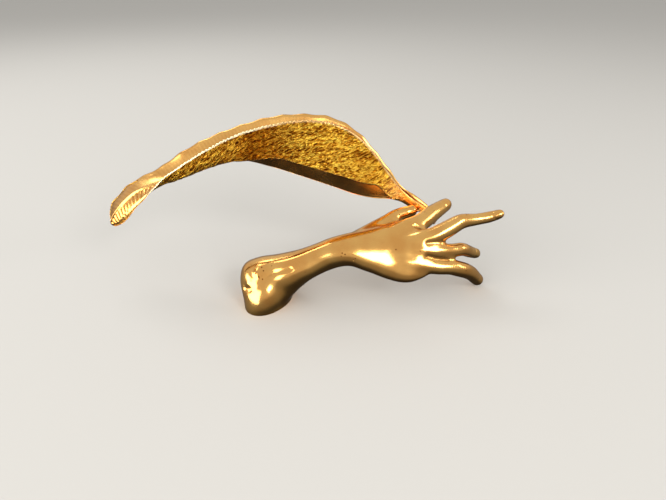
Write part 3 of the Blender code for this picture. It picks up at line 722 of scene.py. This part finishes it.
# Outer face: bark as cast, ending at a smooth strip along the keel; a smoother knot near the
# quill; a split with one loose barb where the strip begins.
FAR_STRIP_SHARE = 0.35           # the smooth strip is narrower on the far wall
BARK_DEPTH_TIP, BARK_DEPTH_ADDED = 0.45, 0.6
BARK_MIDDLE = 0.55               # the wrinkle height that stays on the wall's own face
KNOT_PLACE, KNOT_SIZE = (41.0, 19.6, 77.4), (4.6, 8.0, 3.6)
KNOT_LEVEL, KNOT_RING = 0.45, 0.25
STRIP_STEP, STRIP_LIP = 0.5, 0.25
SPLIT = ((-31.0, 12.8, 88.6), (-20.0, 13.8, 87.4), (-9.0, 14.8, 87.0))
SPLIT_DEPTH, SPLIT_WIDTH = 0.8, 0.7
LOOSE_BARB = ((-21.5, 14.6, 84.6), (-14.0, 14.8, 86.4), (-8.0, 15.0, 86.8))
LOOSE_BARB_LIFT, LOOSE_BARB_WIDTH = 0.7, 0.8
above_strip = np.where(near_side, w - strip, w - FAR_STRIP_SHARE * strip)
depth = BARK_DEPTH_TIP + BARK_DEPTH_ADDED * slope_step(keel_x, -20.0, 10.0)
knot = np.linalg.norm((outer - KNOT_PLACE) / KNOT_SIZE, axis=-1)
cast = slope_step(above_strip, 0.0, 0.8) * (1 - slope_step(keel_x, 46.0, 76.0))
pattern = bark(s + 0 * w, w)
pattern = pattern + (KNOT_LEVEL - pattern) * hump(knot, 1.1) + KNOT_RING * hump(knot - 1.35, 0.2)
has_strip = strip > 0.5
outer_lift = cast * depth * (pattern - BARK_MIDDLE)
outer_lift -= STRIP_STEP * (1 - slope_step(above_strip, -0.6, 0.5)) * has_strip
outer_lift += STRIP_LIP * hump(above_strip - 0.3, 0.4) * near_side * has_strip
flat_outer = outer.reshape(-1, 3)
outer_lift -= SPLIT_DEPTH * hump(path_distance(flat_outer, SPLIT), SPLIT_WIDTH).reshape(w.shape)
loose = hump(path_distance(flat_outer, LOOSE_BARB), LOOSE_BARB_WIDTH).reshape(w.shape)
outer_lift += LOOSE_BARB_LIFT * loose

# Inner face: a raised shaft, and barbs cut as rounded ridges that leave it towards the tip.
PITCH_TIP, PITCH_LOST = 3.2, 0.8
BARB_SWEEP = 0.36                # how far a barb runs towards the tip per millimetre of width
NEAR_BARB_DEPTH, FAR_BARB_DEPTH = 0.5, 0.14
SHAFT_LIFT, SHAFT_WIDTH_TIP, SHAFT_WIDTH_ADDED = 0.85, 0.8, 0.5
barb_pitch = PITCH_TIP - PITCH_LOST * slope_step(s, 20.0, 90.0)
turns = np.concatenate([[[0.0]], np.cumsum(np.diff(s, axis=0) / barb_pitch[1:], axis=0)])
ridge = np.abs(np.sin(math.pi * (turns + BARB_SWEEP * w / barb_pitch)))
free = slope_step(w, 0.8, 2.0) * slope_step(to_edge, 0.9, 2.2) * (1 - quill)
barb_depth = np.where(near_side, NEAR_BARB_DEPTH, FAR_BARB_DEPTH * (1 - slope_step(s, 12.0, 40.0)))
inner_lift = free * barb_depth * (ridge**0.7 - 1.0)
shaft = hump(w, SHAFT_WIDTH_TIP + SHAFT_WIDTH_ADDED * slope_step(s, 10.0, 60.0))
inner_lift += SHAFT_LIFT * shaft * (1 - slope_step(keel_x, 70.0, 84.0)) * slope_step(s, 0.0, 3.0)

# Outward is away from the open side, and on the upright walls away from the other wall.
RISE_WEIGHT = 8
outward = -rise[:, None] + 0.0 * outer
from_other = np.where(near_side[..., None], near[:, None] - far[:, None], far[:, None] - near[:, None])
away = from_other + outward * RISE_WEIGHT
hold = slope_step(to_edge, 0.0, 1.2)[..., None]      # nothing is lifted at the rim itself
drop = edge_drop[..., None] * rise[:, None]
outer = outer + outer_lift[..., None] * hold * grid_normals(outer, away) - drop
inner = inner + inner_lift[..., None] * hold * grid_normals(inner, -away) - drop
feather = mesh_object("feather", *closed_wall(outer, inner))
feather.data.shade_smooth()

# What the material reads: where the skin is as cast and how high its wrinkles stand, a band
# darkened partly as tarnish and partly as painted shade, the bottoms between barbs, and a
# painted highlight along the near rim.
rim_points = np.zeros(len(feather.data.vertices) - 2 * w.size)
nothing = np.zeros(w.shape)
# A broad band over the vane's middle, and the part towards the tip, are darkened: partly tarnish, partly
# painted shade.
shade = hump(keel_x + 34.0, 24.0) + 0.5 * (1 - slope_step(keel_x, -75.0, -45.0)) + nothing
groove = np.clip((0.75 - ridge) / 0.6, 0, 1) * free * np.where(near_side, 1.0, 0.2)
for name, on_outer, on_inner in (("as_cast", cast * hold[..., 0], nothing), ("crest", pattern, nothing),
                                 ("tarnish_and_painted_shade", shade, nothing), ("hollow", nothing, groove)):
    store(feather, name, np.concatenate([on_outer.ravel(), on_inner.ravel(), rim_points]))
# Painted highlight: a pale line along the near rim from some 40 mm past the tip, weaker past the vane's
# middle and gone on the quill.
near_rim = slope_step(s, 30.0, 46.0) * (1 - 0.8 * slope_step(keel_x, -44.0, -14.0)) * (1 - quill)
painted_rim_highlight = (near_side * (1 - slope_step(to_edge, 0.3, 1.3)) * near_rim).ravel()
rim_points[1 - FEATHER_ROWS:] = near_rim[:0:-1, 0]
store(feather, "painted_rim_highlight", np.concatenate([painted_rim_highlight, painted_rim_highlight, rim_points]))

# The UV map holds s and w in units of 100 mm, so a pattern follows the vane.
corners = np.empty(len(feather.data.loops), int)
feather.data.loops.foreach_get("vertex_index", corners)
flat_map = np.stack([s + 0 * w, np.where(near_side, w, -w)], axis=-1).reshape(-1, 2) / 100
vane_map = np.concatenate([flat_map, flat_map, np.zeros((len(rim_points), 2))])
uv = feather.data.uv_layers.new(name="vane")
uv.data.foreach_set("uv", vane_map[corners].ravel())
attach(feather, "root")
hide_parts("feather_casting")


def feather_brass():
    """Yellow brass cast in sand. Where it is buffed it is the hand's mirror; where it is left as
    cast, the crests of the wrinkles are painted bright and the hollows dark brown, partly as worn
    metal and oxide, partly as painted highlight and painted shade. A broad band of the vane is
    darkened, partly by oxide, partly as painted shade, and the near rim has a painted highlight."""
    material, tree, shader, place = new_material("cast_yellow_brass_part_buffed")
    vane = add_node(tree, "ShaderNodeUVMap", {"uv_map": "vane"}).outputs["UV"]
    as_cast = attribute(tree, "as_cast")
    crest = attribute(tree, "crest")
    tarnish_and_painted_shade = attribute(tree, "tarnish_and_painted_shade")
    hollow = attribute(tree, "hollow")
    cloud = add_node(tree, "ShaderNodeTexNoise", Vector=place, Scale=60.0, Detail=4.0).outputs["Fac"]
    # wrinkles 1 mm apart, drawn out along the wall
    leaned = add_node(tree, "ShaderNodeVectorRotate", {"rotation_type": "Z_AXIS"}, Vector=vane,
                      Angle=math.radians(-BARK_LEAN))
    drawn_out = add_node(tree, "ShaderNodeMapping", Vector=leaned.outputs["Vector"], Scale=(20, 80, 1))
    cloudy = add_node(tree, "ShaderNodeTexNoise", Vector=drawn_out.outputs["Vector"], Scale=1.0, Detail=2.0,
                      Distortion=0.6).outputs["Fac"]
    middle = add_node(tree, "ShaderNodeMath", {"operation": "SUBTRACT"}, i0=cloudy, i1=0.5).outputs["Value"]
    from_middle = add_node(tree, "ShaderNodeMath", {"operation": "ABSOLUTE"}, i0=middle).outputs["Value"]
    cells = spread_over(tree, from_middle, 0.0, 0.14, 1.0, 0.0)
    relief = add_node(tree, "ShaderNodeMix", {"data_type": "FLOAT"}, i0=0.5, i2=crest, i3=cells).outputs[0]
    # crests painted bright yellow and valleys dark brown: partly worn metal and oxide, partly painted
    # highlight and painted shade
    crest_wear_and_painted_light = ramp(tree, relief, (0.12, linear("#6A3A0E")), (0.36, linear("#CC8418")),
                  (0.60, linear("#FFD44E")))
    # the band is darkened by multiplying with tan: partly tarnish, partly painted shade
    darker = mixed(tree, tarnish_and_painted_shade, crest_wear_and_painted_light, linear("#B08A62"), "MULTIPLY")
    metal = ramp(tree, cloud, (0.35, linear("#E9AA5C")), (0.65, linear("#F1BC6C")))
    buffed = mixed(tree, hollow, metal, linear("#B4701F"))
    both_faces = mixed(tree, as_cast, buffed, darker)
    # a painted highlight: the near rim is coloured pale brass where a light's reflection runs along it
    colour = mixed(tree, attribute(tree, "painted_rim_highlight"), both_faces, linear("#FFEFC4"))
    tree.links.new(colour, shader.inputs["Base Color"])
    haze = spread_over(tree, cloud, 0.3, 0.7, 0.2, 0.3)
    raw = spread_over(tree, relief, 0.15, 0.6, 0.5, 0.3)
    rough = add_node(tree, "ShaderNodeMix", {"data_type": "FLOAT"}, i0=as_cast, i2=haze, i3=raw)
    tree.links.new(rough.outputs[0], shader.inputs["Roughness"])
    cast_height = add_node(tree, "ShaderNodeMath", {"operation": "MULTIPLY"}, i0=cells, i1=as_cast)
    rough_skin = add_node(tree, "ShaderNodeBump", Height=cast_height.outputs["Value"], Strength=1.0,
                          Distance=0.0008)
    tree.links.new(rough_skin.outputs["Normal"], shader.inputs["Normal"])
    shader.inputs["Metallic"].default_value = 1.0
    return material


feather.data.materials.append(feather_brass())

# ---------------------------------------------------------------------------------------------
# Quill pin: a 1.6 mm drawn brass rod, driven through thumb, quill and index finger.
# ---------------------------------------------------------------------------------------------


def drawn_brass():
    """Brass rod drawn through a die, which leaves fine lines along it and a soft sheen."""
    material, tree, shader, place = new_material("drawn_brass_rod")
    lines = add_node(tree, "ShaderNodeMapping", Vector=place, Scale=(200, 4000, 4000))
    drawn = add_node(tree, "ShaderNodeTexNoise", Vector=lines.outputs["Vector"], Scale=1.0).outputs["Fac"]
    colour = ramp(tree, drawn, (0.3, linear("#D49A4C")), (0.7, linear("#E8B766")))
    tree.links.new(colour, shader.inputs["Base Color"])
    rough = add_node(tree, "ShaderNodeMapRange", Value=drawn, To_Min=0.22, To_Max=0.4)
    tree.links.new(rough.outputs["Result"], shader.inputs["Roughness"])
    shader.inputs["Metallic"].default_value = 1.0
    return material


def refinish(names, material):
    """Give CAD nodes a material in place of the one they were packed with."""
    for name in names:
        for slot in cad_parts[name].material_slots:
            slot.material = material


refinish(["quill_pin"], drawn_brass())

# ---------------------------------------------------------------------------------------------
# Foot plate: 3 mm brass sheet sawn to an oval and filed, screwed into the arm's foot to hold
# the bush.
# ---------------------------------------------------------------------------------------------


def filed_brass():
    """Brass sheet with straight file strokes across it, dulled brown between them."""
    material, tree, shader, place = new_material("filed_brass_sheet")
    drawn_out = add_node(tree, "ShaderNodeMapping", Vector=place, Rotation=(0, 0, 0.6),
                         Scale=(120, 2600, 2600))
    strokes = add_node(tree, "ShaderNodeTexNoise", Vector=drawn_out.outputs["Vector"], Scale=1.0,
                       Detail=2.0)
    dull = add_node(tree, "ShaderNodeTexNoise", Vector=place, Scale=120.0, Detail=3.0)
    worn = add_node(tree, "ShaderNodeMath", {"operation": "MULTIPLY"}, i0=strokes.outputs["Fac"],
                    i1=dull.outputs["Fac"]).outputs["Value"]
    colour = ramp(tree, worn, (0.12, linear("#8A6230")), (0.4, linear("#D8A658")))
    tree.links.new(colour, shader.inputs["Base Color"])
    rough = add_node(tree, "ShaderNodeMapRange", Value=worn, To_Min=0.55, To_Max=0.25)
    tree.links.new(rough.outputs["Result"], shader.inputs["Roughness"])
    scratch = add_node(tree, "ShaderNodeBump", Height=strokes.outputs["Fac"], Strength=0.6,
                       Distance=0.00005)
    tree.links.new(scratch.outputs["Normal"], shader.inputs["Normal"])
    shader.inputs["Metallic"].default_value = 1.0
    return material


refinish(["foot_plate"], filed_brass())

# ---------------------------------------------------------------------------------------------
# Threaded bush and its two screws: turned steel, zinc plated. The bush takes an M8 stud from
# under the hood.
# ---------------------------------------------------------------------------------------------


def zinc_plated_steel():
    """Turned steel under bright zinc: cool grey, with turning marks and a few white spots."""
    material, tree, shader, place = new_material("zinc_plated_steel")
    turning = add_node(tree, "ShaderNodeMapping", Vector=place, Scale=(60, 60, 3500))
    marks = add_node(tree, "ShaderNodeTexNoise", Vector=turning.outputs["Vector"], Scale=1.0).outputs["Fac"]
    spots = add_node(tree, "ShaderNodeTexNoise", Vector=place, Scale=300.0, Detail=4.0).outputs["Fac"]
    colour = ramp(tree, spots, (0.35, linear("#A9ADB0")), (0.7, linear("#D5D6D2")))
    tree.links.new(colour, shader.inputs["Base Color"])
    rough = add_node(tree, "ShaderNodeMapRange", Value=marks, To_Min=0.22, To_Max=0.45)
    tree.links.new(rough.outputs["Result"], shader.inputs["Roughness"])
    ridges = add_node(tree, "ShaderNodeBump", Height=marks, Strength=0.5, Distance=0.00003)
    tree.links.new(ridges.outputs["Normal"], shader.inputs["Normal"])
    shader.inputs["Metallic"].default_value = 1.0
    return material


refinish(["threaded_insert", "foot_plate_screw_1", "foot_plate_screw_2"], zinc_plated_steel())

# ---------------------------------------------------------------------------------------------
# Foot gasket: 1.6 mm black rubber, die cut, glued under the plate so that the brass does not
# mark the paint.
# ---------------------------------------------------------------------------------------------


def black_rubber():
    """Calendered rubber sheet: near black, matt, with a fine fabric-like grain and some dust."""
    material, tree, shader, place = new_material("black_rubber_sheet")
    grain_nodes = add_node(tree, "ShaderNodeTexVoronoi", Vector=place, Scale=1800.0)
    dust = add_node(tree, "ShaderNodeTexNoise", Vector=place, Scale=150.0, Detail=5.0).outputs["Fac"]
    colour = ramp(tree, dust, (0.4, linear("#1B1B1C")), (0.8, linear("#3A3937")))
    tree.links.new(colour, shader.inputs["Base Color"])
    shader.inputs["Roughness"].default_value = 0.75
    skin_bump = add_node(tree, "ShaderNodeBump", Height=grain_nodes.outputs["Distance"], Strength=0.5,
                         Distance=0.00005)
    tree.links.new(skin_bump.outputs["Normal"], shader.inputs["Normal"])
    return material


refinish(["foot_gasket"], black_rubber())

# ---------------------------------------------------------------------------------------------
# Stage: a plain pale floor, soft studio lights and the camera.
# ---------------------------------------------------------------------------------------------

CAMERA_PLACE = (0.020, -0.306, 0.200)
CAMERA_PITCH = 30.0            # degrees below level
CAMERA_LENS = 27.03            # mm on a 36 mm wide sensor

floor = mesh_object("floor", [(-4000, -4000, 0), (4000, -4000, 0), (4000, 4000, 0), (-4000, 4000, 0)],
                    [(0, 1, 2, 3)])
paper = bpy.data.materials.new("pale_backdrop_paper")
paper.use_nodes = True
paper.node_tree.nodes["Principled BSDF"].inputs["Base Color"].default_value = linear("#BFBCB6")
paper.node_tree.nodes["Principled BSDF"].inputs["Roughness"].default_value = 0.9
floor.data.materials.append(paper)
floor.visible_glossy = False     # the metal mirrors the dark lower half of the studio instead

LIGHT_DISTANCE = 1.5           # metres


def soft_light(name, bearing, elevation, roll, width, height, radiance):
    """A rectangular area light that faces the object. Bearing is in degrees to the right of the
    camera's side, elevation in degrees above level, roll in degrees about its own axis, sizes in
    metres; power is pi x area x radiance."""
    light = bpy.data.lights.new(name, "AREA")
    light.shape = "RECTANGLE"
    light.size, light.size_y = width, height
    light.energy = math.pi * width * height * radiance
    side, up = math.radians(bearing), math.radians(elevation)
    lamp = bpy.data.objects.new(name, light)
    direction = Vector((math.sin(side) * math.cos(up), -math.cos(side) * math.cos(up), math.sin(up)))
    lamp.location = direction * LIGHT_DISTANCE
    turn = direction.to_track_quat("Z", "Y") @ Quaternion((0.0, 0.0, 1.0), math.radians(roll))
    lamp.rotation_euler = turn.to_euler()
    bpy.context.scene.collection.objects.link(lamp)


soft_light("front_window", 37.0, 33.0, 33.0, 0.75, 0.45, 9.5)
soft_light("left_window", -52.0, 14.0, 0.0, 2.0, 1.2, 4.6)
soft_light("right_window", 82.0, 25.0, 0.0, 0.35, 0.45, 5.0)
soft_light("back_window", -145.0, 50.0, 0.0, 0.7, 0.45, 6.0)

world = bpy.data.worlds.new("studio")
bpy.context.scene.world = world
world.use_nodes = True
sky = world.node_tree
direction = add_node(sky, "ShaderNodeTexCoord").outputs["Generated"]
height = add_node(sky, "ShaderNodeSeparateXYZ", Vector=direction).outputs["Z"]
share = add_node(sky, "ShaderNodeMapRange", Value=height, From_Min=-1.0, From_Max=1.0).outputs["Result"]
studio = ramp(sky, share, (0.0, (0.03, 0.03, 0.03, 1)), (0.12, (0.05, 0.05, 0.05, 1)),
              (0.18, (0.12, 0.12, 0.11, 1)), (0.27, (0.24, 0.23, 0.22, 1)), (0.50, (0.34, 0.33, 0.31, 1)),
              (0.60, (0.70, 0.69, 0.67, 1)), (1.0, (0.70, 0.70, 0.70, 1)))
sky.links.new(studio, sky.nodes["Background"].inputs["Color"])
sky.nodes["Background"].inputs["Strength"].default_value = 1.0
bpy.context.scene.view_settings.view_transform = "Standard"

camera = bpy.data.objects.new("camera", bpy.data.cameras.new("camera"))
camera.data.lens = CAMERA_LENS
camera.data.sensor_width = 36.0
camera.data.clip_start = 0.01
camera.location = CAMERA_PLACE
camera.rotation_euler = (math.radians(90.0 - CAMERA_PITCH), 0.0, 0.0)
bpy.context.scene.collection.objects.link(camera)
bpy.context.scene.camera = camera
